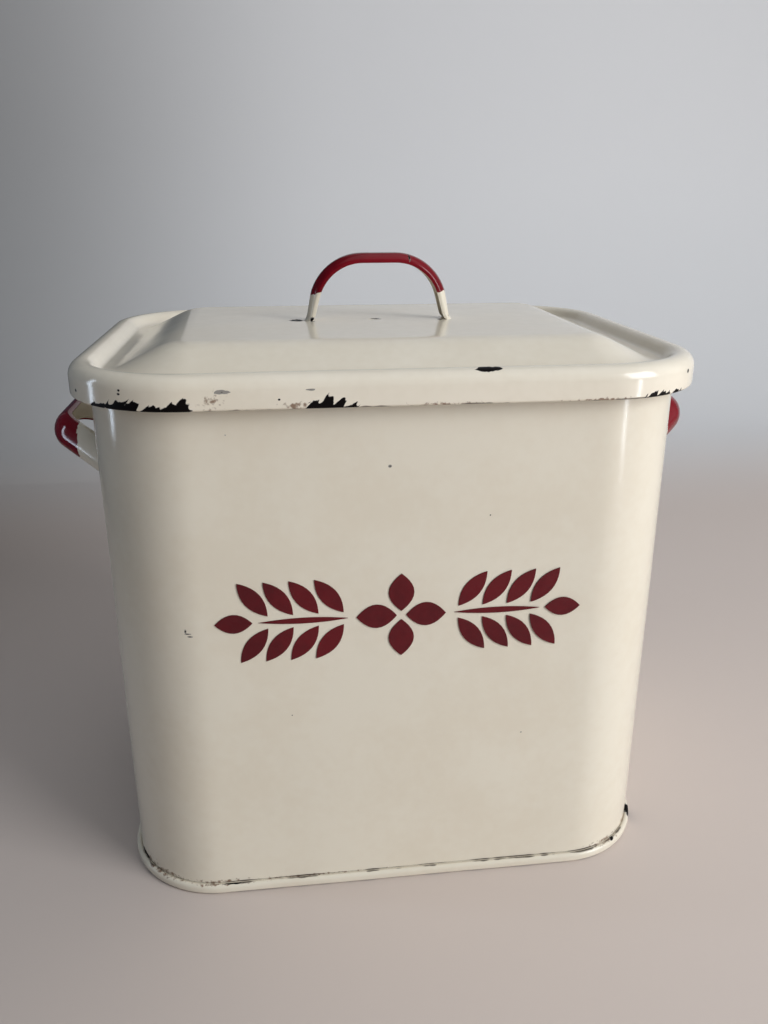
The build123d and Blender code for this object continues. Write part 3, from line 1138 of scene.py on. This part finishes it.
bm = bmesh.new()
sweep = draw_section(
    bm,
    [
        Vector((-SWEEP_SIDE, -6, 0)),
        Vector((-SWEEP_SIDE, BACKDROP, 0)),
        Vector((-SWEEP_SIDE, BACKDROP, 5)),
    ],
    [0.5],
    bend_step=radians(5),
    run_step=1.0,
)
bmesh.ops.spin(bm, geom=sweep, cent=(0, 0, 0), axis=(0, 0, 1), dvec=(1, 0, 0), angle=0,
               steps=2 * SWEEP_SIDE)
weld(bm)
floor = make_object(bm, "floor")
print("the backdrop stands %.2f m behind the bin" % BACKDROP)

# %% [markdown]
# The floor is warmer than the backdrop, and both are painted darker to the left, as painted shade away from
# the window. One paint does it all, blended by place.

# %% Paint the floor and the backdrop
FLOOR_COLOUR = (0.68, 0.59, 0.54, 1)
BACKDROP_COLOUR = (0.82, 0.82, 0.83, 1)
BLACK = (0, 0, 0, 1)

floor_paint, tree, shader = new_material("floor_paint")
position = add_node(tree, "TexCoord").outputs["Object"]
parts = add_node(tree, "SeparateXYZ", {0: position}).outputs
plain = blend(tree, ramp(tree, parts["Y"], 0.45, 0.95), FLOOR_COLOUR, BACKDROP_COLOUR)
painted_side_shade = ramp(tree, parts["X"], -0.7, 0.1, 0.5, 1.0)
tree.links.new(blend(tree, painted_side_shade, BLACK, plain), shader.inputs["Base Color"])
shader.inputs["Roughness"].default_value = 0.6
floor.data.materials.append(floor_paint)
print("floor and backdrop painted")

# %% [markdown]
# The light comes from a large window to the right and in front, so the right end is bright and the left one
# falls off. A weak ceiling light fills the shadows. Two narrow panes give the thin bright lines that the
# round corners mirror. The dim side of the surroundings matters as much, because glossy enamel shows its
# form by what it mirrors.

# %% Light the stage
def add_light(name, place, aim, width, height, power, colour):
    """A flat soft light at a place, turned to a point."""
    data = bpy.data.lights.new(name, "AREA")
    data.shape = "RECTANGLE"
    data.size = width
    data.size_y = height
    data.energy = power
    data.color = colour
    lamp = bpy.data.objects.new(name, data)
    lamp.location = place
    lamp.rotation_euler = (Vector(aim) - Vector(place)).to_track_quat("-Z", "Y").to_euler()
    bpy.context.scene.collection.objects.link(lamp)


bin_middle = (0, 0, 0.15)
DAYLIGHT = (0.96, 0.98, 1.0)
add_light("window", (1.5, -1.25, 1.0), bin_middle, 1.0, 1.3, 32, DAYLIGHT)
add_light("ceiling", (0.3, -0.3, 1.9), bin_middle, 1.8, 1.8, 4.5, DAYLIGHT)
add_light("pane", (-0.6, -0.02, 0.33), (-0.15, -0.115, 0.304), 0.05, 0.34, 0.4, (0.72, 0.84, 1.0))
add_light("low pane", (0.77, -0.73, 0.12), (0.13, -0.11, 0.27), 0.05, 0.22, 0.45, (0.9, 0.95, 1.0))
print("lights", len(bpy.data.lights))

# %% [markdown]
# Two dark boards stand to the left and behind. The camera doesn't see them, they throw no shadow and they
# are left out of diffuse light, so all they do is to darken what the enamel mirrors on its left side.

# %% Stand up the boards
BOARD_COLOUR = (0.03, 0.055, 0.085, 1)
BOARD_HEIGHT = 1.5
board_paint, tree, shader = new_material("board_paint")
shader.inputs["Base Color"].default_value = BOARD_COLOUR
shader.inputs["Roughness"].default_value = 0.5


def add_board(name, start, end):
    """A dark upright board between two points of the floor."""
    bm = bmesh.new()
    foot = bmesh.ops.create_vert(bm, co=start)["vert"]
    line = bmesh.ops.extrude_vert_indiv(bm, verts=foot)["verts"]
    bmesh.ops.translate(bm, verts=line, vec=Vector(end) - Vector(start))
    bmesh.ops.spin(bm, geom=bm.verts[:] + bm.edges[:], cent=(0, 0, 0), axis=(0, 0, 1),
                   dvec=(0, 0, BOARD_HEIGHT), angle=0, steps=1)
    board = make_object(bm, name, smooth=False)
    board.data.materials.append(board_paint)
    board.visible_camera = False
    board.visible_shadow = False
    board.visible_diffuse = False


add_board("left_board", (-0.62, -0.95, 0), (-0.62, 0.65, 0))
add_board("back_board", (-0.6, 0.7, 0), (-0.2, 0.7, 0))
print("boards of %.1f m" % BOARD_HEIGHT)

# %% [markdown]
# The world is the rest of the room: dim to the left and paler to the right, so even the soft light from all
# round has a direction. The Standard view keeps colours as they are written.

# %% Light the surroundings
DIM_SIDE = (0.03, 0.04, 0.05, 1)
PALE_SIDE = (0.45, 0.46, 0.47, 1)
world = bpy.data.worlds.new("world")
world.use_nodes = True
tree = world.node_tree
way = add_node(tree, "TexCoord").outputs["Generated"]
sideways = add_node(tree, "SeparateXYZ", {0: way}).outputs["X"]
glow = blend(tree, ramp(tree, sideways, -0.6, 0.65), DIM_SIDE, PALE_SIDE)
tree.links.new(glow, tree.nodes["Background"].inputs["Color"])
bpy.context.scene.world = world
bpy.context.scene.view_settings.view_transform = "Standard"
print("world", world.name)

# %% [markdown]
# The camera stands a little above the lid and left of the middle, near enough for the sides to converge.

# %% Set the camera
LOOK_DOWN = 0.349
LOOK_RIGHT = 0.124
camera_data = bpy.data.cameras.new("camera")
camera_data.lens = 30.70
camera = bpy.data.objects.new("camera", camera_data)
camera.location = (-0.06205, -0.54431, 0.39084)
camera.rotation_euler = (pi / 2 - LOOK_DOWN, 0, -LOOK_RIGHT)
bpy.context.scene.collection.objects.link(camera)
bpy.context.scene.camera = camera
print("camera %.2f m from the bin" % camera.location.length)
